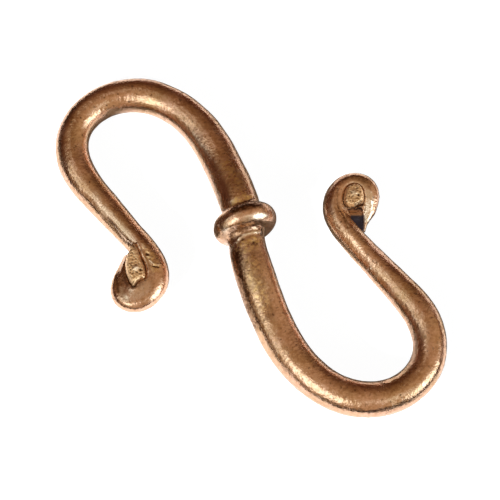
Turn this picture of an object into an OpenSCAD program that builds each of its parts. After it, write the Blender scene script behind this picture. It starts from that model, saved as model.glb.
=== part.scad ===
// Cast S-hook clasp: one rod with two equal hooks, a collar on its stem and a grain in each curled end.
// It lies flat on the XY plane, seen face up from +Z, with its middle over the origin.
// The hook that opens upwards on the right is drawn from the table below, and half a turn gives the other.

/* [Rod] */
// Thickness of the rod at its stoutest, in the stem
rod_d = 2.94; // [2.6:0.02:3.2]
// Heading of the rod at its middle, in degrees from +X
stem_heading = -87.6; // [-92:0.2:-80]
// How far the rod bends up at the curled ends, so that they clear the surface
curl_lift = 0.6; // [0.2:0.05:1]
// Height of the soft ridge on top of the curled ends, as a share of the rod's radius
ridge = 0.14; // [0:0.02:0.2]
// Thickness of the stem beside the collar, as a share of the rod's
waist = 0.9; // [0.86:0.01:1]

/* [Collar] */
// Outside diameter of the collar
collar_d = 4.7; // [4.3:0.1:5.2]
// Length of the collar along the stem
collar_w = 1.8; // [1.4:0.1:2.4]
// How far the collar sits from the middle of the rod, towards the upper hook
collar_off = 1; // [0:0.1:2]
// How far the collar leans out of square with the stem, in degrees
collar_lean = 6; // [0:1:10]
// How far the collar is turned out of square with the stem, seen from above, in degrees
collar_skew = 8; // [0:1:12]

/* [Grains] */
// Width of a grain, which fills the eye of the curl
grain_w = 1.6; // [1.4:0.05:1.9]
// Height of a grain's foot above the surface
grain_foot = 0.8; // [0.6:0.1:1.2]
// Height of a grain's top above the surface
grain_top = 2.55; // [2.2:0.05:2.9]
// How lumpy the grains are, as a share of their radius
grain_lumps = 0.05; // [0:0.01:0.08]

/* [Web] */
// Diameter of the thin web that closes the right-hand curl below its grain
web_d = 1.8; // [1.4:0.1:2]
// Thickness of the web
web_t = 0.3; // [0.2:0.1:0.5]
// Height of the web's underside above the surface
web_z = 0.75; // [0.7:0.05:1]
// How far the web's middle lies below the middle of the eye, in Y
web_drop = 1.2; // [0.8:0.1:1.4]

/* [Hidden] */
// Clear height under the stem at the collar, so that the collar just touches the surface
arch = (collar_d - waist * rod_d) / 2;

// Columns of the rod's table
AT = 0;   // distance along the rod from its middle, mm
TURN = 1; // how fast the rod turns there, degrees for each mm, plus is to the left
SIZE = 2; // thickness there, as a share of rod_d
GAP = 3;  // clear height under the rod there, mm
CREST = 4; // how much of the ridge shows there
stations = [
    [0, 9.1, waist, arch, 0],
    [1.5, 5.2, 0.95, arch, 0],
    [3, 1.6, 0.99, 0.8 * arch, 0],
    [6, 1.9, 0.97, 0.15 * arch, 0],
    [9, 5.7, 0.95, 0, 0],
    [12, 7.9, 0.9, 0, 0],
    [15, 11.2, 0.88, 0, 0],
    [18, 12, 0.83, 0, 0],
    [21, 16.5, 0.82, 0, 0],
    [24, 11.4, 0.84, 0, 0.1],
    [27, 0.3, 0.77, 0, 0.3],
    [30, 0.4, 0.68, 0.15 * curl_lift, 0.8],
    [32.5, -3, 0.63, 0.55 * curl_lift, 1],
    [34.5, -29.1, 0.56, 0.85 * curl_lift, 1],
    [36.5, -29.5, 0.51, curl_lift, 1],
    [38.5, -59, 0.44, curl_lift, 0.6],
    [40.5, 7, 0.29, 1.1 * curl_lift, 0.2],
    [42.2, -6.5, 0.06, 1.2 * curl_lift, 0],
];
LAST = len(stations) - 1;

// Facets round the rod, and the spacing of its rings in the hook and in the curl
SIDES = 20;
HOOK_STEP = 0.6;
CURL_STEP = 0.3;
CURL_FROM = 30;

// Where along the rod the eye of the curl is measured from
EYE_AT = 35.5;

// Columns of the grains' table
END = 0;   // 1 for the curl on the right, -1 for the one on the left
EAST = 1;  // place of the top from the middle of the eye along X, mm
NORTH = 2; // place of the top from the middle of the eye along Y, mm
SEAT = 3;  // place of the foot from the middle of the eye along Y, mm
LONG = 4;  // length of the top over its width
REACH = 5; // length of the foot over its width
SWING = 6; // direction of the length, degrees from +Y
grains = [
    [1, -0.25, 0.25, 0.2, 1.15, 1.1, 0],
    [-1, 0.1, 0.6, 0.05, 1.8, 1.6, 8],
];

// Columns of the table for a grain's side, from its foot to its top
UP = 0;   // height, as a share from foot to top
OUT = 1;  // radius, as a share of half the width
RISE = 2; // 0 where the section is the foot's and 1 where it is the top's
grain_side = [
    [0, 0.9, 0],
    [0.12, 1.2, 0],
    [0.5, 1.25, 0.1],
    [0.62, 1.05, 0.6],
    [0.74, 0.9, 1],
    [0.86, 0.7, 1],
    [0.95, 0.45, 1],
    [1, 0.15, 1],
];
// Facets round a grain
GRAIN_SIDES = 18;

// Row of the table at or before a distance
function rowAt(s, i = 0) = i >= LAST - 1 || stations[i + 1][AT] > s ? i : rowAt(s, i + 1);

function between(a, b, t) = a + (b - a) * t;

function share(s, i) = (s - stations[i][AT]) / (stations[i + 1][AT] - stations[i][AT]);

// Turning rate, in straight steps between the rows
function turnAt(s) = let (i = rowAt(s)) between(stations[i][TURN], stations[i + 1][TURN], share(s, i));

// Slope of a column at a row, from its neighbours
function slope(col, i) =
    let (a = max(i - 1, 0), b = min(i + 1, LAST))
    (stations[b][col] - stations[a][col]) / (stations[b][AT] - stations[a][AT]);

// Value of a column at a distance, on a smooth curve through the rows
function smoothAt(col, s) =
    let (i = rowAt(s), t = share(s, i), w = stations[i + 1][AT] - stations[i][AT])
    stations[i][col] * (1 + 2 * t) * (1 - t) * (1 - t)
        + slope(col, i) * w * t * (1 - t) * (1 - t)
        + stations[i + 1][col] * t * t * (3 - 2 * t)
        - slope(col, i + 1) * w * t * t * (1 - t);

function radiusAt(s) = rod_d / 2 * smoothAt(SIZE, s);
function heightAt(s) = max(0, smoothAt(GAP, s)) + radiusAt(s);
function stepAt(s) = s < CURL_FROM ? HOOK_STEP : CURL_STEP;

// The rod from its middle to one tip: [distance, heading, x, y]
walk = [
    for (
        s = 0, h = stem_heading, x = 0, y = 0;
        s <= stations[LAST][AT] + 0.01;
        d = stepAt(s),
        m = h + turnAt(s + d / 4) * d / 2,
        x = x + d * cos(m),
        y = y + d * sin(m),
        h = h + turnAt(s + d / 2) * d,
        s = s + d
    )
    [s, h, x, y]
];

// The walk at any distance along the rod
function walkAt(s) =
    let (
        i = s < CURL_FROM ? s / HOOK_STEP : CURL_FROM / HOOK_STEP + (s - CURL_FROM) / CURL_STEP,
        j = floor(i)
    )
    between(walk[j], walk[j + 1], i - j);

// Radius of the rod at an angle round its section, where 90 is the top
function edgeAt(s, a) = radiusAt(s) * (1 + ridge * smoothAt(CREST, s) * pow(max(0, sin(a)), 12));

// One ring of the rod: side is 1 for the right-hand hook and -1 for the other
function ring(w, side) = [
    for (k = [0:SIDES - 1])
        let (a = 360 * k / SIDES, r = edgeAt(w[0], a))
        [
            side * w[2] - sin(w[1]) * r * cos(a),
            side * w[3] + cos(w[1]) * r * cos(a),
            heightAt(w[0]) + r * sin(a)
        ]
];

rings = concat(
    [for (i = [len(walk) - 1:-1:1]) ring(walk[i], -1)],
    [for (w = walk) ring(w, 1)]
);

// Faces that join a stack of equal rings, with both ends closed
function skin(count, sides) = concat(
    [for (i = [0:count - 2], k = [0:sides - 1])
        [i * sides + k, (i + 1) * sides + k, (i + 1) * sides + (k + 1) % sides, i * sides + (k + 1) % sides]],
    [[for (k = [0:sides - 1]) k]],
    [[for (k = [sides - 1:-1:0]) (count - 1) * sides + k]]
);

module rod() {
    color("#a8734d")
        polyhedron(
            points = [for (r = rings) each r],
            faces = skin(len(rings), SIDES),
            convexity = 8
        );
}

// A half-round bead whose middle circle lies on the stem's surface
module collar() {
    w = walkAt(collar_off);
    color("#b07f58")
        translate([-w[2], -w[3], collar_d / 2])
            rotate([0, 0, w[1] + collar_skew])
                rotate([0, 90 - collar_lean, 0])
                    rotate_extrude($fn = 72)
                        translate([(collar_d - collar_w) / 2, 0])
                            circle(d = collar_w, $fn = 48);
}

// Middle of the eye in the right-hand curl
beside_eye = walkAt(EYE_AT);
eye = [beside_eye[2], beside_eye[3]]
    + (radiusAt(EYE_AT) + grain_w / 2) * [sin(beside_eye[1]), -cos(beside_eye[1])];

// Unevenness of a grain at an angle round it and a share of its height
function lump(a, up) = 1 + grain_lumps * (sin(3 * a + 50) * cos(200 * up) + sin(5 * a + 400 * up));

grain_rings = [
    for (row = grain_side) [
        for (k = [0:GRAIN_SIDES - 1])
            let (a = 360 * k / GRAIN_SIDES, r = grain_w / 2 * row[OUT] * lump(a, row[UP]))
            [r * cos(a), r * sin(a), row[UP], row[RISE]]
    ]
];

// Point of a grain: p is [x, y, share of height, rise] and row its line in the table
function grainPoint(p, row) = [
    p[0] + row[EAST] * p[3],
    p[1] * between(row[REACH], row[LONG], p[3]) + between(row[SEAT], row[NORTH], p[3]),
    between(grain_foot, grain_top, p[2])
];

module grain(row) {
    color("#c8a266")
        translate([row[END] * eye[0], row[END] * eye[1], 0])
            rotate([0, 0, row[SWING]])
                polyhedron(
                    points = [for (r = grain_rings, p = r) grainPoint(p, row)],
                    faces = skin(len(grain_rings), GRAIN_SIDES)
                );
}

module web() {
    color("#5a4436")
        translate([eye[0], eye[1] - web_drop, web_z])
            cylinder(d = web_d, h = web_t, $fn = 48);
}

module hook_clasp() {
    union() {
        rod();
        collar();
        for (row = grains) grain(row);
        web();
    }
}

hook_clasp();
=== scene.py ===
import bpy
import bmesh
import math
import numpy as np
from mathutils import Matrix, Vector, noise


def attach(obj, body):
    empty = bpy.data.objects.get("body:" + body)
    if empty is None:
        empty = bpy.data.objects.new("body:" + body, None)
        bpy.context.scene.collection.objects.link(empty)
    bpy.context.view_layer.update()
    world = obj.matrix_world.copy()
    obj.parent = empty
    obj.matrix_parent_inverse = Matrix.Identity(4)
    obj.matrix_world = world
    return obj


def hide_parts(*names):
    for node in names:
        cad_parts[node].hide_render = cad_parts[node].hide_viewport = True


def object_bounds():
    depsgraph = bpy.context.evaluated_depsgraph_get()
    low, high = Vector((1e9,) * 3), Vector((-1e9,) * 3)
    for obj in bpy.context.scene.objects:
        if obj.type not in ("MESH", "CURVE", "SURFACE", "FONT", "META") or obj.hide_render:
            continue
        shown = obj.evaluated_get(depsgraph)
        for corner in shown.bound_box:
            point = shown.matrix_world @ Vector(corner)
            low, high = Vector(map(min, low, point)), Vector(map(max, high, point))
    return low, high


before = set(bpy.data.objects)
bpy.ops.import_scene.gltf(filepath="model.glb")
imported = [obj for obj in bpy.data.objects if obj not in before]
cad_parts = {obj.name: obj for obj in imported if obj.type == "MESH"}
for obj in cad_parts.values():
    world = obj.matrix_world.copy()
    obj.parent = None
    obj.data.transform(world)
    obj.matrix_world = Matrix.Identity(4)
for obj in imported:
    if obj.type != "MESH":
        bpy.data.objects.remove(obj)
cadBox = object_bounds()
mm = 0.001  # in metres
metre = 1000  # in mm
print("frame loaded:", list(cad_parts))


# Camera, at the photograph's angle
cameraSetup = {
    "aim": (0.249, -0.599, 1.2),  # mm, the point in the middle of the picture
    "elevation": 72,  # degrees
    "distance": 94.2,
    "lens": 93.6,
    "sensor": 36,
    "clip": (5, 5000),
}


def makeCamera(c):
    rise = math.radians(c["elevation"])
    data = bpy.data.cameras.new("photoCamera")
    data.sensor_width = c["sensor"]
    data.lens = c["lens"]
    data.clip_start = c["clip"][0] * mm
    data.clip_end = c["clip"][1] * mm
    cam = bpy.data.objects.new("photoCamera", data)
    bpy.context.collection.objects.link(cam)
    back = Vector((0, -math.cos(rise), math.sin(rise)))
    cam.location = (Vector(c["aim"]) + back * c["distance"]) * mm
    cam.rotation_euler = (math.radians(90) - rise, 0, 0)
    bpy.context.scene.camera = cam


makeCamera(cameraSetup)


# Pale floor, soft lights and a dim room
floorLook = {"half": 1500, "colour": (0.15, 0.15, 0.15, 1), "roughness": 0.9, "glow": 0.93}
# a wall round the floor's edge in the floor's own white, seen by the camera alone
backdrop = {"height": 1400, "sides": 64}
# what the metal mirrors of the floor: paper that takes the wash lamp's light and the clasp's own shadow
paperLook = {"half": 60, "colour": (0.30, 0.29, 0.28, 1), "roughness": 0.9, "lift": 0.004}
# cards that edge the metal with a dark line
flagLook = {
    "reach": 24,
    "height": 3.8,
    "sides": 32,
    "colour": (0.03, 0.012, 0.006, 1),
    "roughness": 0.9,
}
washLamp = {"toward": (-0.6, -0.64, 0.44), "distance": 400, "size": 60, "power": 15.5}
roomLook = {
    "front": (0.57, 0.41, 0.25, 1),
    "frontLow": (0.08, 0.03, 0.015, 1),
    "frontRise": (0, 0.22),  # heights between which the low colour turns into the other
    "back": (0.29, 0.165, 0.08, 1),
    "backLow": (0.10, 0.04, 0.02, 1),
    "backRise": (0.3, 0.95),
    "backward": (-0.5, 0.86, 0),  # the way to the back, a little to the left
    "turn": (-0.15, 0.45),  # how far that way the front turns into the back
}
# soft boxes that the metal mirrors: degrees from the middle to the full and to the last light
softBoxes = {
    "front": {"toward": (-0.44, -0.61, 0.66), "spread": (13, 24), "colour": (1.8, 2.15, 2.2)},
    "right": {"toward": (0.85, -0.42, 0.3), "spread": (12, 25), "colour": (2.6, 3.2, 3.4)},
    "middle": {"toward": (0.39, -0.43, 0.82), "spread": (3, 14), "colour": (0.6, 0.8, 0.85)},
    "leftLow": {"toward": (-0.8, -0.18, 0.57), "spread": (3, 12), "colour": (1.1, 1.3, 1.25)},
    "leftMid": {"toward": (-0.56, 0.03, 0.82), "spread": (3, 12), "colour": (1.2, 1.4, 1.35)},
    "leftHigh": {"toward": (-0.28, 0.3, 0.91), "spread": (2, 11), "colour": (0.5, 0.55, 0.5)},
}


def plainMaterial(name, colour, roughness, glow=0):
    mat = bpy.data.materials.new(name)
    mat.use_nodes = True
    shader = mat.node_tree.nodes["Principled BSDF"]
    shader.inputs["Base Color"].default_value = colour
    shader.inputs["Roughness"].default_value = roughness
    shader.inputs["Emission Color"].default_value = (1, 1, 1, 1)
    shader.inputs["Emission Strength"].default_value = glow
    return mat


def stageMesh(name, bm, mat):
    mesh = bpy.data.meshes.new(name)
    bm.to_mesh(mesh)
    bm.free()
    mesh.materials.append(mat)
    obj = bpy.data.objects.new(name, mesh)
    bpy.context.collection.objects.link(obj)
    return obj


def sheet(half, lift=0):
    bm = bmesh.new()
    bmesh.ops.create_grid(bm, x_segments=2, y_segments=2, size=half * mm)
    bmesh.ops.translate(bm, vec=(0, 0, lift * mm), verts=bm.verts)
    return bm


def ringWall(radius, height, sides):
    # an upright band round the origin
    bm = bmesh.new()
    bmesh.ops.create_circle(bm, segments=sides, radius=radius * mm)
    added = bmesh.ops.extrude_edge_only(bm, edges=bm.edges[:])["geom"]
    tops = [part for part in added if isinstance(part, bmesh.types.BMVert)]
    bmesh.ops.translate(bm, vec=(0, 0, height * mm), verts=tops)
    return bm


def makeFloor(f):
    mat = plainMaterial("paperSheet", f["colour"], f["roughness"], f["glow"])
    stageMesh("floorSheet", sheet(f["half"]), mat)


def makeBackdrop(b, f):
    mat = plainMaterial("backdropPaper", f["colour"], f["roughness"], f["glow"])
    obj = stageMesh("backdropWall", ringWall(f["half"], b["height"], b["sides"]), mat)
    obj.visible_glossy = False
    obj.visible_diffuse = False
    obj.visible_shadow = False


def hideFromView(obj):
    obj.visible_camera = False
    obj.visible_shadow = False


def makePaper(p):
    mat = plainMaterial("mirroredPaper", p["colour"], p["roughness"])
    hideFromView(stageMesh("mirroredPaper", sheet(p["half"], p["lift"]), mat))


def makeFlags(f):
    mat = plainMaterial("blackCard", f["colour"], f["roughness"])
    hideFromView(stageMesh("darkFlags", ringWall(f["reach"], f["height"], f["sides"]), mat))


def makeWash(w):
    data = bpy.data.lights.new("washLamp", "AREA")
    data.size = w["size"] * mm
    data.energy = w["power"]
    lamp = bpy.data.objects.new("washLamp", data)
    bpy.context.collection.objects.link(lamp)
    way = Vector(w["toward"]).normalized()
    lamp.location = way * w["distance"] * mm
    lamp.rotation_mode = "QUATERNION"
    lamp.rotation_quaternion = way.to_track_quat("Z", "Y")
    lamp.visible_glossy = False


def mapRange(tree, source, lowIn, highIn, lowOut=0, highOut=1, smooth=False):
    node = tree.nodes.new("ShaderNodeMapRange")
    node.interpolation_type = "SMOOTHSTEP" if smooth else "LINEAR"
    node.inputs["From Min"].default_value = lowIn
    node.inputs["From Max"].default_value = highIn
    node.inputs["To Min"].default_value = lowOut
    node.inputs["To Max"].default_value = highOut
    tree.links.new(source, node.inputs["Value"])
    return node.outputs["Result"]


def mixColours(tree, factor, a, b):
    # a and b are sockets or plain colours
    node = tree.nodes.new("ShaderNodeMix")
    node.data_type = "RGBA"
    tree.links.new(factor, node.inputs["Factor"])
    for name, value in (("A", a), ("B", b)):
        if isinstance(value, tuple):
            node.inputs[name].default_value = value
        else:
            tree.links.new(value, node.inputs[name])
    return node.outputs["Result"]


def shareToward(tree, way, direction):
    # how much of a way points in a direction
    node = tree.nodes.new("ShaderNodeVectorMath")
    node.operation = "DOT_PRODUCT"
    node.inputs[1].default_value = direction
    tree.links.new(way, node.inputs[0])
    return node.outputs["Value"]


def addLight(tree, light, amount, colour):
    node = tree.nodes.new("ShaderNodeVectorMath")
    node.operation = "MULTIPLY_ADD"
    tree.links.new(amount, node.inputs[0])
    node.inputs[1].default_value = colour
    tree.links.new(light, node.inputs[2])
    return node.outputs["Vector"]


def makeRoom(r, boxes):
    world = bpy.data.worlds.new("dimRoom")
    world.use_nodes = True
    tree = world.node_tree
    way = tree.nodes.new("ShaderNodeTexCoord").outputs["Generated"]
    split = tree.nodes.new("ShaderNodeSeparateXYZ")
    tree.links.new(way, split.inputs[0])
    frontRise = mapRange(tree, split.outputs["Z"], *r["frontRise"], smooth=True)
    backRise = mapRange(tree, split.outputs["Z"], *r["backRise"], smooth=True)
    turn = mapRange(tree, shareToward(tree, way, r["backward"]), *r["turn"], smooth=True)
    inFront = mixColours(tree, frontRise, r["frontLow"], r["front"])
    behind = mixColours(tree, backRise, r["backLow"], r["back"])
    light = mixColours(tree, turn, inFront, behind)
    for box in boxes.values():
        full, last = (math.cos(math.radians(angle)) for angle in box["spread"])
        nearness = shareToward(tree, way, Vector(box["toward"]).normalized())
        inside = mapRange(tree, nearness, last, full, smooth=True)
        light = addLight(tree, light, inside, box["colour"])
    tree.links.new(light, tree.nodes["Background"].inputs["Color"])
    bpy.context.scene.world = world


makeFloor(floorLook)
makeBackdrop(backdrop, floorLook)
makePaper(paperLook)
makeFlags(flagLook)
makeWash(washLamp)
makeRoom(roomLook, softBoxes)
bpy.context.scene.view_settings.view_transform = "Standard"
print("stage ready")


# The clasp: the solid's own shape, made smooth, uneven and pitted, all in mm
metalShape = {
    "merge": 0.002,
    "voxel": 0.13,
    "smoothing": 52,  # rounds before the mesh is made finer in places, and after it
    "lastSmoothing": 8,
    "hammer": {"height": 0.03, "size": 1.5, "seed": 1},
    "ripple": {"height": 0.012, "size": 0.5, "seed": 2},
    "pits": {"height": 0.03, "size": 0.22, "seed": 3, "from": 0.3, "gain": 4},
    "pittedPlaces": {"size": 2.2, "seed": 4},
    "grainGrit": {"height": 0.035, "size": 0.15, "seed": 5},
    # bright marks are solder, scratches and painted highlights; the metal under them is calmed
    "brightMarkCalm": 0.7,  # how much of the hammering and the ripples a bright mark takes away
}
seedSteps = (17.3, 5.1, 9.7)  # how far a noise moves for each seed


def mergedCopy(node, name, distance):
    # the node's own mesh, in mm and with its facets joined
    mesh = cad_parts[node].data.copy()
    mesh.name = name
    bm = bmesh.new()
    bm.from_mesh(mesh)
    bmesh.ops.scale(bm, vec=(metre, metre, metre), verts=bm.verts)
    bmesh.ops.remove_doubles(bm, verts=bm.verts, dist=distance)
    bm.to_mesh(mesh)
    bm.free()
    obj = bpy.data.objects.new(name, mesh)
    bpy.context.collection.objects.link(obj)
    return obj


def remesh(obj, voxel):
    modifier = obj.modifiers.new("remesh", "REMESH")
    modifier.mode = "VOXEL"
    modifier.voxel_size = voxel
    graph = bpy.context.evaluated_depsgraph_get()
    mesh = bpy.data.meshes.new_from_object(obj.evaluated_get(graph))
    obj.modifiers.clear()
    obj.data = mesh
    return mesh


# where the mesh is made finer, once for each, on faces whose normals point up by more than leastUp
fineSpots = [
    {"middle": (7.9, 2.5), "radius": 2.0, "lowest": 1.0},
    {"middle": (7.9, 2.8), "radius": 1.5, "lowest": 1.0},
    {"middle": (-7.9, -2.5), "radius": 2.0, "lowest": 1.0},
    {"middle": (-7.9, -2.1), "radius": 1.8, "lowest": 1.0},
    {"middle": (-0.1, 1.0), "radius": 2.4, "lowest": 1.9},
]
leastUp = -0.3


def refine(mesh, spot):
    bm = bmesh.new()
    bm.from_mesh(mesh)
    x, y = spot["middle"]
    near = set()
    for face in bm.faces:
        c = face.calc_center_median()
        inside = math.hypot(c.x - x, c.y - y) < spot["radius"]
        if inside and c.z > spot["lowest"] and face.normal.z > leastUp:
            near.update(face.edges)
    bmesh.ops.subdivide_edges(bm, edges=list(near), cuts=1, use_grid_fill=True)
    bm.to_mesh(mesh)
    bm.free()


def points(mesh):
    co = np.empty(len(mesh.vertices) * 3)
    mesh.vertices.foreach_get("co", co)
    return co.reshape(-1, 3)


def normalsOf(mesh):
    normals = np.empty(len(mesh.vertices) * 3)
    mesh.vertices.foreach_get("normal", normals)
    return normals.reshape(-1, 3)


def setPoints(mesh, co):
    mesh.vertices.foreach_set("co", co.ravel())
    mesh.update()


def edgePairs(mesh):
    e = np.empty(len(mesh.edges) * 2, dtype=np.int64)
    mesh.edges.foreach_get("vertices", e)
    return e.reshape(-1, 2)


def edgesAt(e, count):
    # how many edges meet at each point
    return np.maximum(np.bincount(e.ravel(), minlength=count), 1)


def neighbourMean(values, e):
    total = np.zeros_like(values)
    for k in range(values.shape[1]):
        total[:, k] = np.bincount(e[:, 0], values[e[:, 1], k], len(values))
        total[:, k] += np.bincount(e[:, 1], values[e[:, 0], k], len(values))
    return total / edgesAt(e, len(values))[:, None]


def evenOut(values, e, rounds, steps=(0.63, -0.67)):
    # smooths without shrinking: a step in, then a slightly larger one out
    for i in range(rounds):
        for step in steps:
            values = values + (neighbourMean(values, e) - values) * step
    return values


def film(co, e, weight, rounds, pull=0.7, least=0.001):
    # draws a part tight between its borders, like a soap film
    ids, local = np.unique(e[(weight[e] > least).any(axis=1)], return_inverse=True)
    local = local.reshape(-1, 2)
    part = co[ids]
    strength = weight[ids][:, None] * pull
    for i in range(rounds):
        part = part + (neighbourMean(part, local) - part) * strength
    co = co.copy()
    co[ids] = part
    return co


def noiseAt(co, n):
    shift = Vector([n["seed"] * step for step in seedSteps])
    return np.array([noise.noise(Vector(p) / n["size"] + shift) for p in co])


def smoothStep(x, low, high):
    t = np.clip((x - low) / (high - low), 0, 1)
    return t * t * (3 - 2 * t)


def bell(x, width):
    return np.exp(-((x / width) ** 2))


# what keeps divisions away from zero
tinySpan = 1e-9
tinyGap = 1e-6


def rounded(line, closed):
    # a line of (x, y) or (x, y, z) points with its corners cut off twice
    line = np.array([(*p, 0)[:3] for p in line], dtype=float)
    for i in range(2 if len(line) > 2 else 0):
        ends = np.roll(line, -1, axis=0) if closed else line[1:]
        starts = line[:len(ends)]
        near = starts * 0.75 + ends * 0.25
        far = starts * 0.25 + ends * 0.75
        cut = np.stack((near, far), axis=1).reshape(-1, 3)
        line = cut if closed else np.vstack((line[:1], cut[1:-1], line[-1:]))
    return line


def nearestOn(co, line, closed=False):
    # distance in plan to a line of points, and the line's height at the nearest place
    xy = co[:, :2]
    line = rounded(line, closed)
    ends = np.roll(line, -1, axis=0) if closed or len(line) == 1 else line[1:]
    best = np.full(len(co), np.inf)
    height = np.zeros(len(co))
    for p, q in zip(line, ends):
        span = (q - p)[:2]
        t = np.clip((xy - p[:2]) @ span / max(span @ span, tinySpan), 0, 1)
        gap = np.linalg.norm(xy - p[:2] - t[:, None] * span, axis=1)
        height = np.where(gap < best, p[2] + t * (q[2] - p[2]), height)
        best = np.minimum(best, gap)
    return best, height


def planReach(co, line, closed=True):
    # distance in plan to a line of points, less than zero inside a closed one
    reach = nearestOn(co, line, closed)[0]
    if not closed:
        return reach
    inside = np.zeros(len(co), dtype=bool)
    line = rounded(line, True)
    for p, q in zip(line, np.roll(line, -1, axis=0)):
        if q[1] != p[1]:
            level = (p[1] > co[:, 1]) != (q[1] > co[:, 1])
            inside ^= level & (co[:, 0] < p[0] + (co[:, 1] - p[1]) * (q[0] - p[0]) / (q[1] - p[1]))
    return np.where(inside, -reach, reach)


# the crease under the collar, filled with solder inside an outline and round a place beside it
crease = {
    "outline": [(-1.6, -0.1), (-0.9, 0.1), (0.0, 0.2), (0.7, 0.4), (1.4, 0.4), (1.3, 0.1), (0.4, -0.2),
                (-0.6, -0.6), (-0.9, -1.2), (-1.3, -1.1)],
    "border": (-0.1, 0.15),
    "lowest": 2.2,
    "facing": (-0.2, 0.1),
    "beside": (-1.5, -0.35, 2.2),
    "besideReach": (0.24, 0.6),
    "rounds": 160,
}


def fillCrease(co, e, normals):
    onTop = 1 - smoothStep(planReach(co, crease["outline"]), *crease["border"])
    onTop *= (co[:, 2] > crease["lowest"]) * smoothStep(normals[:, 2], *crease["facing"])
    gap = np.linalg.norm(co - crease["beside"], axis=1)
    beside = 1 - smoothStep(gap, *crease["besideReach"])
    return film(co, e, np.maximum(onTop, beside), crease["rounds"])


# where the metal runs on smoothly round an eye, between two lines of (x, y, z) points
lands = [
    {"outer": [(6.4, 2.2, 2.3), (6.4, 3.0, 2.3), (6.8, 4.0, 2.2), (7.7, 4.6, 2.1), (8.7, 4.5, 2.0),
               (9.2, 3.7, 2.0), (9.2, 3.0, 1.9), (9.0, 2.0, 1.5), (8.7, 0.8, 1.0)],
     "inner": [(7.2, 2.3, 1.9), (7.1, 3.3, 2.0), (7.5, 4.1, 2.0), (8.2, 4.1, 2.0), (8.5, 3.4, 1.8),
               (8.5, 2.3, 1.4), (8.5, 0.8, 0.9)]},
    {"outer": [(-6.9, -1.1, 2.3), (-6.4, -2.2, 2.3), (-6.4, -3.0, 2.3), (-6.8, -4.0, 2.2),
               (-7.7, -4.6, 2.1), (-8.7, -4.5, 2.0), (-9.2, -3.7, 1.8), (-9.1, -2.6, 1.7),
               (-8.7, -0.8, 1.3)],
     "inner": [(-7.8, -0.8, 2.2), (-7.2, -2.2, 2.2), (-7.3, -3.1, 2.3), (-8.0, -3.6, 2.2),
               (-8.4, -3.1, 2.0), (-8.6, -2.0, 1.7), (-8.5, -0.7, 1.5)]},
]
landBorder = 0.25
landRounds = 40


def levelLands(co, e, onTop):
    co = co.copy()
    tight = np.zeros(len(co))
    for land in lands:
        reach = planReach(co, land["outer"] + land["inner"][::-1])
        outer, outerHeight = nearestOn(co, land["outer"])
        inner, innerHeight = nearestOn(co, land["inner"])
        level = outerHeight + (innerHeight - outerHeight) * outer / (outer + inner + tinyGap)
        co[:, 2] += (level - co[:, 2]) * (reach < 0) * onTop
        tight = np.maximum(tight, (1 - smoothStep(reach, 0, landBorder)) * onTop)
    return film(co, e, tight, landRounds)


# the grains: height at the edge and on top, and how far in from the outline they are full
grains = [
    {"outline": [(7.0, 3.1), (7.2, 3.9), (7.8, 4.3), (8.4, 4.1), (8.6, 3.4), (8.5, 2.7), (7.7, 2.3),
                 (7.1, 2.5)],
     "edge": 1.95, "top": 2.38, "full": 0.28},
    {"outline": [(-8.4, -0.4), (-8.6, -1.2), (-8.7, -2.2), (-8.4, -3.2), (-8.0, -3.8), (-7.7, -3.2),
                 (-7.1, -3.1), (-7.2, -2.2), (-7.6, -1.3), (-8.0, -0.4)],
     "edge": 2.05, "top": 2.45, "full": 0.3},
]
grainDome = 0.8  # one is a round dome, and less is fuller
grainRim = {"height": 0.015, "out": 0.2, "width": 0.08}
grainGroove = {"depth": 0.1, "width": 0.05}


def raiseGrain(high, reach, grain):
    # a dome with a groove along its outline and a low rim outside that
    dome = np.sin(np.clip(-reach / grain["full"], 0, 1) * math.pi / 2) ** grainDome
    high = np.where(reach < 0, grain["edge"] + (grain["top"] - grain["edge"]) * dome, high)
    rim = grainRim["height"] * bell(reach - grainRim["out"], grainRim["width"])
    groove = grainGroove["depth"] * bell(reach, grainGroove["width"])
    return high + (rim - groove)


# the ledge under the right-hand grain and the pit in front of it
ledge = {"outline": [(7.1, 3.2), (8.6, 3.2), (8.5, 2.4), (7.2, 2.4)], "height": 1.65}
pit = {
    "outline": [(7.2, 2.4), (8.5, 2.4), (8.5, 2.2), (8.5, 0.8), (7.9, 1.4), (7.5, 2.0)],
    "height": 1.06,
    "wall": 0.05,
}
upperSide = {
    "from": (0.95, 1.05),  # heights between which it begins
    "leastUp": -0.1,  # how far its normals point up
    "lowest": 1.0,  # nothing is shaped deeper than this
}


def shapeTop(co, e, normals):
    # the upper side where the clasp is more than a bent rod; gives how far each grain's outline is
    onTop = smoothStep(co[:, 2], *upperSide["from"]) * (normals[:, 2] > upperSide["leastUp"])
    co = levelLands(co, e, onTop)
    high = np.where(planReach(co, ledge["outline"]) < 0, ledge["height"], co[:, 2])
    reaches = [planReach(co, grain["outline"]) for grain in grains]
    for grain, reach in zip(grains, reaches):
        high = raiseGrain(high, reach, grain)
    down = smoothStep(-planReach(co, pit["outline"]), 0, pit["wall"])
    high += down * np.minimum(pit["height"] - high, 0)
    onTop = np.maximum(onTop, down * (co[:, 2] > pit["height"]))
    co[:, 2] += (np.maximum(high, upperSide["lowest"]) - co[:, 2]) * onTop
    return co, reaches


# the right-hand tip, thinner than its solid: what lies outside x is drawn in by a share
tip = {
    "outside": 8.5,
    "share": 0.5,
    "thinning": (2.3, 1.1),  # y between which the tip gets thinner
    "end": (0.4, 0.8),  # y between which the thinning ends
    "slant": 1.26,  # of the hook that passes below the tip
    "aboveHook": (0.8, 1.4),  # distance from the hook between which the thinning sets in
}


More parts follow.
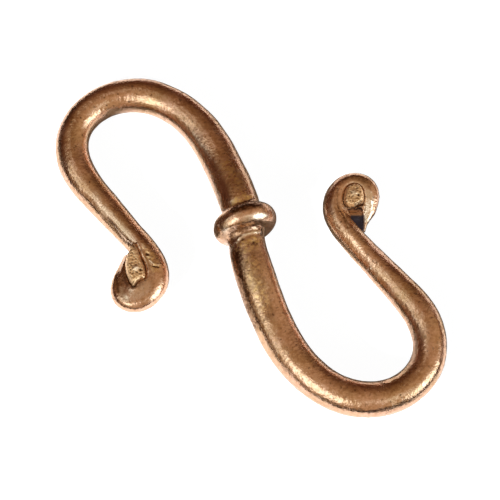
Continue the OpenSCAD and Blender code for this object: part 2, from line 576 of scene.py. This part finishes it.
def thinTip(co):
    x, y = co[:, 0], co[:, 1]
    width = x - tip["outside"]
    start, full = tip["thinning"]
    along = smoothStep(-y, -start, -full) * smoothStep(y, *tip["end"])
    along *= smoothStep(y + tip["slant"] * width, *tip["aboveHook"])
    co = co.copy()
    co[:, 0] -= tip["share"] * along * np.maximum(width, 0)
    return co


# marks on the upper side: (x, y) of a spot, a line or, where closed, an outline, with a soft width,
# what it paints and how strongly, how far it lifts the metal and how broken up it is
marks = [
    # the solder's bright edge below the collar
    {"at": [(-0.95, -1.2), (-0.8, -1.0), (-0.6, -0.55), (-0.1, -0.25), (0.4, -0.1), (1.05, 0.1)],
     "width": 0.11, "paint": ("solderWearAndHighlight", 1.0), "lift": 0.06, "broken": 0.35},
    # brassy patches above and below the collar
    {"at": [(-1.3, 1.85), (-0.9, 2.45), (-0.45, 2.75), (0.25, 2.9), (0.45, 2.6), (-0.2, 2.2),
            (-0.75, 1.9)],
     "closed": True, "width": 0.2, "paint": ("brass", 0.9), "broken": 0.5},
    {"at": [(-0.95, -1.3), (-0.6, -0.75), (0.25, -0.35), (0.9, -0.2), (1.1, -0.5), (0.8, -1.25),
            (0.1, -1.7), (-0.6, -1.6)],
     "closed": True, "width": 0.25, "paint": ("brass", 0.55), "broken": 0.6},
    # the seam above the collar, its groove painted dark as shade, and painted shade on the collar's
    # back and front
    {"at": [(-1.65, 1.55), (-1.2, 1.7), (-0.45, 2.0), (0.25, 2.35), (0.55, 2.6)],
     "width": 0.07, "paint": ("darkAndPaintedShade", 0.8), "lift": -0.03},
    {"at": [(-1.35, 1.4), (-0.5, 1.85), (0.2, 2.1), (0.85, 2.15), (1.35, 1.9), (0.7, 1.45),
            (-0.2, 1.15), (-1.0, 0.95)],
     "closed": True, "width": 0.12, "paint": ("darkAndPaintedShade", 0.9)},
    {"at": [(-1.45, 0.1), (-0.4, 0.55), (0.7, 0.85), (1.3, 0.8), (1.1, 0.35), (0.3, 0.05),
            (-0.5, -0.35), (-1.0, -0.9)],
     "closed": True, "width": 0.15, "paint": ("darkAndPaintedShade", 0.45), "broken": 0.5},
    # painted shade over the metal just above the solder
    {"at": [(-0.8, -0.2), (-0.2, 0.1), (0.5, 0.27), (1.05, 0.4)],
     "width": 0.15, "paint": ("darkAndPaintedShade", 0.6)},
    # pits below the collar and at its right end
    {"at": [(0.55, -0.8)], "width": 0.2, "paint": ("darkAndPaintedShade", 0.8), "lift": -0.08},
    {"at": [(-0.25, -0.6)], "width": 0.1, "paint": ("darkAndPaintedShade", 0.8), "lift": -0.04},
    {"at": [(1.15, 0.3), (1.1, -0.05)], "width": 0.1, "paint": ("darkAndPaintedShade", 1.0), "lift": -0.06},
    # the stem: painted shade along the left side of its lower part, and darker and brassier stretches
    {"at": [(-0.65, -1.7), (-0.4, -3.2), (0.0, -5.0), (0.5, -6.4)],
     "width": 0.5, "paint": ("darkAndPaintedShade", 0.85)},
    {"at": [(-0.9, -1.6), (1.0, -1.2), (1.4, -3.2), (2.2, -6.0), (1.3, -6.8), (0.2, -5.0),
            (-0.6, -3.2)],
     "closed": True, "width": 0.4, "paint": ("darkAndPaintedShade", 0.35)},
    {"at": [(-1.3, 6.0), (-0.4, 4.4), (0.2, 2.9), (-0.9, 2.6), (-1.5, 4.2), (-2.1, 5.4)],
     "closed": True, "width": 0.4, "paint": ("brass", 0.4), "broken": 1.0},
    {"at": [(-0.3, -1.9), (0.7, -1.8), (1.2, -3.6), (1.8, -5.6), (0.9, -5.7), (0.2, -3.9)],
     "closed": True, "width": 0.35, "paint": ("brass", 0.35), "broken": 1.0},
    # a painted highlight along a faint ridge on the upper stem
    {"at": [(-3.9, 7.9), (-2.7, 6.1), (-1.95, 5.15), (-1.25, 3.5), (-1.1, 2.2)],
     "width": 0.22, "paint": ("solderWearAndHighlight", 0.4), "lift": 0.02, "broken": 0.8},
    # painted highlights on the collar's crown and left end, and painted shade beside them
    {"at": [(-0.1, 0.5), (0.6, 0.8), (1.3, 1.05)], "width": 0.22, "paint": ("solderWearAndHighlight", 0.6)},
    {"at": [(-1.5, 0.15)], "width": 0.25, "paint": ("solderWearAndHighlight", 0.8)},
    {"at": [(-1.85, 0.25), (-1.75, -0.1), (-1.5, -0.5)], "width": 0.25, "paint": ("darkAndPaintedShade", 0.5)},
    # the left-hand curl: painted shade at the foot of its grain, and on the hook that runs into it a
    # groove painted dark as shade, painted highlights along it and a faint ridge with a painted
    # highlight
    {"at": [(-8.2, -3.75), (-7.7, -3.5), (-7.2, -3.2)], "width": 0.2, "paint": ("darkAndPaintedShade", 0.35)},
    {"at": [(-10.15, 1.55), (-9.7, 1.1), (-9.25, 0.5), (-8.85, -0.05), (-8.35, -0.4), (-8.0, -0.85)],
     "width": 0.1, "paint": ("darkAndPaintedShade", 0.5), "lift": -0.04},
    {"at": [(-10.9, 3.2), (-10.3, 2.2), (-9.6, 1.5), (-8.85, 0.55), (-8.3, -0.25), (-7.75, -1.0)],
     "width": 0.35, "paint": ("solderWearAndHighlight", 0.4), "lift": 0.025},
    {"at": [(-7.8, -0.45), (-7.55, -1.0), (-7.3, -1.5), (-7.05, -2.0), (-6.95, -2.5)],
     "width": 0.09, "paint": ("solderWearAndHighlight", 0.15), "lift": 0.03},
    # the brassy flank beside the grain
    {"at": [(-7.55, -0.3), (-7.05, -0.65), (-6.55, -1.35), (-6.1, -1.95), (-6.15, -2.55),
            (-6.75, -2.6), (-7.1, -1.85)],
     "closed": True, "width": 0.15, "paint": ("brass", 0.4), "broken": 0.9},
    # painted shade round the grain's border
    {"at": [(-8.65, -1.0), (-8.7, -2.0), (-8.6, -2.8), (-8.1, -3.65), (-7.6, -3.4), (-7.0, -3.1),
            (-7.2, -3.5), (-7.8, -3.85), (-8.5, -3.65), (-8.95, -2.8), (-8.9, -1.9)],
     "closed": True, "width": 0.12, "paint": ("darkAndPaintedShade", 0.5)},
    # painted highlights below it, and a slight groove painted dark as shade on the curl's left side
    {"at": [(-8.6, -3.7), (-7.8, -3.6), (-7.0, -3.2), (-6.6, -3.6), (-7.2, -4.4), (-8.2, -4.6)],
     "closed": True, "width": 0.3, "paint": ("solderWearAndHighlight", 0.35)},
    {"at": [(-8.95, -3.75), (-8.75, -4.25), (-8.5, -4.5)], "width": 0.2, "paint": ("solderWearAndHighlight", 0.8)},
    {"at": [(-9.35, -2.7), (-9.3, -3.3), (-9.15, -3.9)],
     "width": 0.1, "paint": ("darkAndPaintedShade", 0.6), "lift": -0.03},
    # scratches and small pits on the flank
    {"at": [(-7.4, -0.45), (-7.2, -0.8)], "width": 0.07, "paint": ("solderWearAndHighlight", 0.4), "lift": 0.025},
    {"at": [(-7.1, -1.4), (-6.75, -1.5)], "width": 0.06, "paint": ("solderWearAndHighlight", 0.4), "lift": 0.025},
    {"at": [(-6.9, -1.7), (-6.6, -2.0), (-6.15, -2.0)],
     "width": 0.07, "paint": ("solderWearAndHighlight", 0.5), "lift": 0.03},
    {"at": [(-7.15, -1.2), (-7.1, -1.25)], "width": 0.09, "paint": ("darkAndPaintedShade", 1.0), "lift": -0.08},
    {"at": [(-6.65, -2.15), (-6.3, -2.2)], "width": 0.07, "paint": ("darkAndPaintedShade", 0.7), "lift": -0.04},
    # a dent painted dark as shade and a knob with a painted highlight on the grain
    {"at": [(-7.55, -2.45)], "width": 0.09, "paint": ("darkAndPaintedShade", 1.0), "lift": -0.1},
    {"at": [(-7.85, -2.35)], "width": 0.2, "paint": ("solderWearAndHighlight", 1.0), "lift": 0.12},
    # painted shade on the left-hand tip
    {"at": [(-8.6, -0.95), (-8.65, -1.4), (-8.7, -1.9), (-8.9, -2.2), (-9.1, -2.05), (-8.95, -1.55),
            (-8.75, -1.2)],
     "closed": True, "width": 0.12, "paint": ("darkAndPaintedShade", 0.6)},
    # the right-hand curl: a knob with a painted highlight and a dent painted dark as shade on its grain
    {"at": [(7.8, 3.4)], "width": 0.2, "paint": ("solderWearAndHighlight", 1.0), "lift": 0.12},
    {"at": [(8.12, 3.25)], "width": 0.09, "paint": ("darkAndPaintedShade", 1.0), "lift": -0.1},
    # painted shade in the fold at the grain's foot, and on the ledge under the grain
    {"at": [(8.0, 2.6), (8.35, 2.75)], "width": 0.1, "paint": ("darkAndPaintedShade", 0.6), "lift": -0.04},
    {"at": [(7.1, 2.95), (7.3, 2.5), (7.65, 2.35), (7.95, 2.5), (8.4, 2.7), (8.5, 2.3), (7.2, 2.25)],
     "closed": True, "width": 0.08, "paint": ("darkAndPaintedShade", 0.85)},
    # painted shade, dark and not metallic, in the pit, on what lies deep enough
    {"at": [(6.8, 2.12), (8.4, 2.12), (8.6, 2.07), (8.6, 1.7), (8.6, 0.6), (7.5, 0.9)],
     "closed": True, "width": 0.12, "paint": ("pitShade", 1.0), "below": 1.4},
    # a faint raised line with a painted highlight along the hook, the groove inside it painted dark as
    # shade, and the edge inside that with a painted highlight
    {"at": [(6.5, 4.2), (6.4, 3.5), (6.4, 2.75), (6.7, 1.95), (7.1, 1.05), (7.65, 0.0), (8.25, -1.0),
            (8.95, -2.0), (9.5, -2.7)],
     "width": 0.2, "paint": ("solderWearAndHighlight", 0.05), "lift": 0.01, "broken": 0.9},
    {"at": [(6.6, 3.8), (6.55, 2.9), (6.75, 2.1), (7.05, 1.45), (7.3, 0.75)],
     "width": 0.1, "paint": ("darkAndPaintedShade", 0.3), "lift": -0.04},
    {"at": [(7.0, 2.4), (7.15, 1.6), (7.35, 0.85), (7.8, -0.1)],
     "width": 0.08, "paint": ("solderWearAndHighlight", 0.15), "lift": 0.02},
    # painted highlights round the eye, painted shade along its top and a painted highlight on the tip
    {"at": [(7.0, 2.6), (7.0, 3.4), (7.2, 3.95), (7.6, 4.3), (8.1, 4.35), (8.6, 4.1), (8.9, 3.6)],
     "width": 0.18, "paint": ("solderWearAndHighlight", 0.3)},
    {"at": [(7.0, 4.45), (7.4, 4.7), (7.9, 4.8), (8.4, 4.65), (8.75, 4.45)],
     "width": 0.2, "paint": ("darkAndPaintedShade", 0.6)},
    {"at": [(8.55, 3.7), (8.95, 3.9), (9.3, 3.3), (9.15, 2.2), (8.8, 0.9), (8.55, 0.9), (8.55, 2.2)],
     "closed": True, "width": 0.1, "paint": ("solderWearAndHighlight", 0.7)},
    # small raised specks on the hooks, with painted glints
    {"at": [(8.85, -2.15), (8.95, -2.25)], "width": 0.07, "paint": ("solderWearAndHighlight", 0.9), "lift": 0.04},
    {"at": [(9.25, -2.75), (9.3, -2.85)], "width": 0.07, "paint": ("solderWearAndHighlight", 0.9), "lift": 0.04},
    {"at": [(-9.6, 3.5), (-9.55, 3.35)], "width": 0.07, "paint": ("solderWearAndHighlight", 0.9), "lift": 0.04},
]
# marks lie where the metal faces up and is high enough, and noise breaks them up
markSide = {"facing": (0, 0.3), "lowest": 1.2}
markBreaks = {"size": 0.16, "seed": 6, "gain": 2.5, "most": 1.3}
grainPaint = {"border": (-0.03, 0.06), "lowest": 1.5}


def paintMarks(co, normals, painted):
    # paints every mark and gives how far they lift the metal
    lift = np.zeros(len(co))
    patchy = noiseAt(co, markBreaks)
    facing = smoothStep(normals[:, 2], *markSide["facing"])
    for mark in marks:
        closed = mark.get("closed", False)
        reach = planReach(co, mark["at"], closed)
        if closed:
            weight = 1 - smoothStep(reach, -mark["width"], mark["width"])
        else:
            weight = bell(reach, mark["width"])
        if "below" in mark:
            weight *= co[:, 2] < mark["below"]
        else:
            weight *= facing * (co[:, 2] > markSide["lowest"])
        broken = 1 + markBreaks["gain"] * mark.get("broken", 0) * patchy
        weight *= np.clip(broken, 0, markBreaks["most"])
        name, amount = mark["paint"]
        painted[name] = np.maximum(painted[name], np.clip(weight * amount, 0, 1))
        lift += mark.get("lift", 0) * weight
    return lift


def paintGrains(co, reaches, painted):
    for reach in reaches:
        inside = smoothStep(-reach, *grainPaint["border"]) * (co[:, 2] > grainPaint["lowest"])
        painted["gold"] = np.maximum(painted["gold"], inside)


def unevenness(co, s, painted, grainy):
    # the hammering, ripples and pits of the metal, and the grit on the grains
    push = s["hammer"]["height"] * noiseAt(co, s["hammer"])
    push += s["ripple"]["height"] * noiseAt(co, s["ripple"])
    push *= 1 - s["brightMarkCalm"] * painted["solderWearAndHighlight"]
    pits = np.clip(noiseAt(co, s["pits"]) - s["pits"]["from"], 0, 1)
    pits = pits * noiseAt(co, s["pittedPlaces"]).clip(0, 1) * s["pits"]["gain"]
    push -= s["pits"]["height"] * pits * (1 - painted["gold"]) * (1 - painted["solderWearAndHighlight"])
    push += grainy * s["grainGrit"]["height"] * noiseAt(co, s["grainGrit"])
    return push


# how strongly the metal has to curve inwards for the painted shade in the hollows to start and to be
# full
hollowShadeCurve = (0.3, 2.5)
hollowShadeRounds = 2


# painted shade in the hollows, from how strongly the metal curves inwards
def hollowShading(co, e, normals):
    bend = ((neighbourMean(co, e) - co) * normals).sum(1)
    span = ((co[e[:, 0]] - co[e[:, 1]]) ** 2).sum(1)
    area = np.bincount(e[:, 0], span, len(co)) + np.bincount(e[:, 1], span, len(co))
    area = area / edgesAt(e, len(co))
    curve = evenOut((bend / area)[:, None], e, hollowShadeRounds, steps=(0.5,))[:, 0]
    return smoothStep(curve, *hollowShadeCurve)


def makeMetal(s):
    obj = mergedCopy("hook_clasp", "claspMetal", s["merge"])
    mesh = remesh(obj, s["voxel"])
    setPoints(mesh, evenOut(points(mesh), edgePairs(mesh), s["smoothing"]))
    for spot in fineSpots:
        refine(mesh, spot)
    co, e = points(mesh), edgePairs(mesh)
    print("remeshed:", len(co), "points")
    co = evenOut(co, e, s["lastSmoothing"])
    setPoints(mesh, co)
    normals = normalsOf(mesh)
    co = fillCrease(co, e, normals)
    co, reaches = shapeTop(co, e, normals)
    # painted layers: grains, brass, bright marks with painted highlights, dark marks with painted
    # shade, and the pit's painted shade
    painted = {name: np.zeros(len(co)) for name in ("gold", "brass", "solderWearAndHighlight", "darkAndPaintedShade", "pitShade")}
    paintGrains(co, reaches, painted)
    grainy = painted["gold"].copy()
    co = thinTip(co)
    setPoints(mesh, co)
    normals = normalsOf(mesh)
    lift = paintMarks(co, normals, painted)
    push = unevenness(co, s, painted, grainy)
    co = co + normals * (push + lift)[:, None]
    co = np.clip(co, np.array(cadBox[0]) * metre, np.array(cadBox[1]) * metre)
    painted["hollowShade"] = hollowShading(co, e, normals)
    setPoints(mesh, co * mm)
    for name, values in painted.items():
        mesh.attributes.new(name, "FLOAT", "POINT").data.foreach_set("value", values)
    mesh.polygons.foreach_set("use_smooth", np.ones(len(mesh.polygons), dtype=bool))
    mesh.update()
    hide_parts("hook_clasp")
    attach(obj, "root")
    print("metal:", sum(len(p.vertices) - 2 for p in mesh.polygons), "triangles")
    return obj


claspMetal = makeMetal(metalShape)


# Copper-coloured bronze with painted shade in the hollows and the pit, painted highlights and shade on
# its marks, golden and dull on the grains
bronzeLook = {
    "copper": (0.76, 0.49, 0.36, 1),
    "brown": (0.47, 0.25, 0.12, 1),
    "olive": (0.52, 0.37, 0.18, 1),
    # the dark colour of specks, and of the painted shade in the hollows and on the dark marks
    "speckAndShade": (0.16, 0.08, 0.04, 1),
    "gold": (0.95, 0.68, 0.42, 1),
    "brass": (0.94, 0.66, 0.3, 1),
    "solderWearAndHighlight": (0.93, 0.80, 0.66, 1),
    # painted shade in the pit: dark, bluish and not metallic
    "pitShade": (0.028, 0.023, 0.05, 1),
    # how strongly the patterns show
    "olivePart": 0.6,
    "brownPart": 0.6,
    "speckPart": 0.7,
    # the painted shade in the hollows
    "hollowShadePart": 0.85,
    # how the flecks thin or thicken the brass, and the dark tone and painted shade
    "brassFleck": (0.3, 1.5),
    "darkAndShadeFleck": (1.4, 0.6),
    # roughness of the metal, and what dull metal and the pit's painted shade add to it
    "roughness": (0.17, 0.31),
    "dullRoughness": 0.25,
    "pitShadeRoughness": 0.3,
    "pitShadeCovers": (0.2, 1),  # painted pit shade between which nothing metallic is left
    # relief: grit from bare to dull metal, and what stays of it from bare metal to the bright marks,
    # which are solder, scratches and painted highlights
    "grit": (0.5, 1.6),
    "solderWearAndHighlightRelief": (1, 0.2),
    "reliefStrength": 0.7,
    "reliefHeight": 0.03,  # mm
}
# the patterns' noise, and between which of its values each goes from none to full
bronzeNoise = {
    "fleck": {"scale": 4600, "detail": 2, "roughness": 0.6, "range": (0.4, 0.6)},
    "cloud": {"scale": 420, "detail": 5, "roughness": 0.6, "range": (0.42, 0.7)},
    "mottle": {"scale": 3200, "detail": 4, "roughness": 0.65, "range": (0.44, 0.64)},
    "specks": {"scale": 3600, "detail": 1, "roughness": 0.5, "range": (0.64, 0.76)},
    "sheen": {"scale": 900, "detail": 3, "roughness": 0.5, "range": (0.3, 0.7)},
    "grit": {"scale": 2600, "detail": 3, "roughness": 0.5},
    "grain": {"scale": 5200, "detail": 2, "roughness": 0.5},
}


def noiseTexture(tree, coords, n):
    node = tree.nodes.new("ShaderNodeTexNoise")
    node.inputs["Scale"].default_value = n["scale"]
    node.inputs["Detail"].default_value = n["detail"]
    node.inputs["Roughness"].default_value = n["roughness"]
    tree.links.new(coords, node.inputs["Vector"])
    return node.outputs["Fac"]


def pattern(tree, coords, n, lowOut=0, highOut=1):
    return mapRange(tree, noiseTexture(tree, coords, n), *n["range"], lowOut, highOut)


def attributeOf(tree, name):
    node = tree.nodes.new("ShaderNodeAttribute")
    node.attribute_name = name
    return node.outputs["Fac"]


def calculate(tree, operation, a, b, clamp=False):
    # b is a socket or a number
    node = tree.nodes.new("ShaderNodeMath")
    node.operation = operation
    node.use_clamp = clamp
    tree.links.new(a, node.inputs[0])
    if isinstance(b, (int, float)):
        node.inputs[1].default_value = b
    else:
        tree.links.new(b, node.inputs[1])
    return node.outputs[0]


def times(tree, a, b):
    return calculate(tree, "MULTIPLY", a, b)


def plus(tree, a, b):
    # never more than one
    return calculate(tree, "ADD", a, b, clamp=True)


def bronzeTone(tree, coords, paint, b):
    brassFleck = pattern(tree, coords, bronzeNoise["fleck"], *b["brassFleck"])
    darkAndShadeFleck = pattern(tree, coords, bronzeNoise["fleck"], *b["darkAndShadeFleck"])
    brass = times(tree, paint["brass"], brassFleck)
    darkAndPaintedShade = times(tree, paint["darkAndPaintedShade"], darkAndShadeFleck)
    cloud = pattern(tree, coords, bronzeNoise["cloud"])
    mottle = pattern(tree, coords, bronzeNoise["mottle"])
    specks = pattern(tree, coords, bronzeNoise["specks"])
    tone = mixColours(tree, times(tree, cloud, b["olivePart"]), b["copper"], b["olive"])
    tone = mixColours(tree, times(tree, mottle, b["brownPart"]), tone, b["brown"])
    tone = mixColours(tree, paint["gold"], tone, b["gold"])
    tone = mixColours(tree, brass, tone, b["brass"])
    tone = mixColours(tree, paint["solderWearAndHighlight"], tone, b["solderWearAndHighlight"])
    # painted shade in the hollows and on the dark marks, with the dark specks, pulls the colour towards
    # the speck colour
    hollowShade = times(tree, paint["hollowShade"], b["hollowShadePart"])
    shade = plus(tree, times(tree, specks, b["speckPart"]), hollowShade)
    tone = mixColours(tree, plus(tree, shade, darkAndPaintedShade), tone, b["speckAndShade"])
    return mixColours(tree, paint["pitShade"], tone, b["pitShade"])


def bronzeRoughness(tree, coords, paint, dull, b):
    rough = pattern(tree, coords, bronzeNoise["sheen"], *b["roughness"])
    rough = plus(tree, rough, times(tree, dull, b["dullRoughness"]))
    return plus(tree, rough, times(tree, paint["pitShade"], b["pitShadeRoughness"]))


def bronzeRelief(tree, coords, paint, dull, b):
    grit = noiseTexture(tree, coords, bronzeNoise["grit"])
    grit = times(tree, grit, mapRange(tree, dull, 0, 1, *b["grit"]))
    height = calculate(tree, "ADD", noiseTexture(tree, coords, bronzeNoise["grain"]), grit)
    height = times(tree, height, mapRange(tree, paint["solderWearAndHighlight"], 0, 1, *b["solderWearAndHighlightRelief"]))
    bump = tree.nodes.new("ShaderNodeBump")
    bump.inputs["Strength"].default_value = b["reliefStrength"]
    bump.inputs["Distance"].default_value = b["reliefHeight"] * mm
    tree.links.new(height, bump.inputs["Height"])
    return bump.outputs["Normal"]


def makeBronze(b):
    mat = bpy.data.materials.new("copperBronze")
    mat.use_nodes = True
    tree = mat.node_tree
    shader = tree.nodes["Principled BSDF"]
    coords = tree.nodes.new("ShaderNodeTexCoord").outputs["Object"]
    names = ("gold", "brass", "solderWearAndHighlight", "darkAndPaintedShade", "pitShade", "hollowShade")
    paint = {name: attributeOf(tree, name) for name in names}
    dull = plus(tree, paint["gold"], paint["brass"])
    # no metal where the pit's painted shade covers it
    metallic = mapRange(tree, paint["pitShade"], *b["pitShadeCovers"], 1, 0)
    tree.links.new(bronzeTone(tree, coords, paint, b), shader.inputs["Base Color"])
    tree.links.new(metallic, shader.inputs["Metallic"])
    tree.links.new(bronzeRoughness(tree, coords, paint, dull, b), shader.inputs["Roughness"])
    tree.links.new(bronzeRelief(tree, coords, paint, dull, b), shader.inputs["Normal"])
    return mat


claspMetal.data.materials.clear()
claspMetal.data.materials.append(makeBronze(bronzeLook))
print("materials ready")
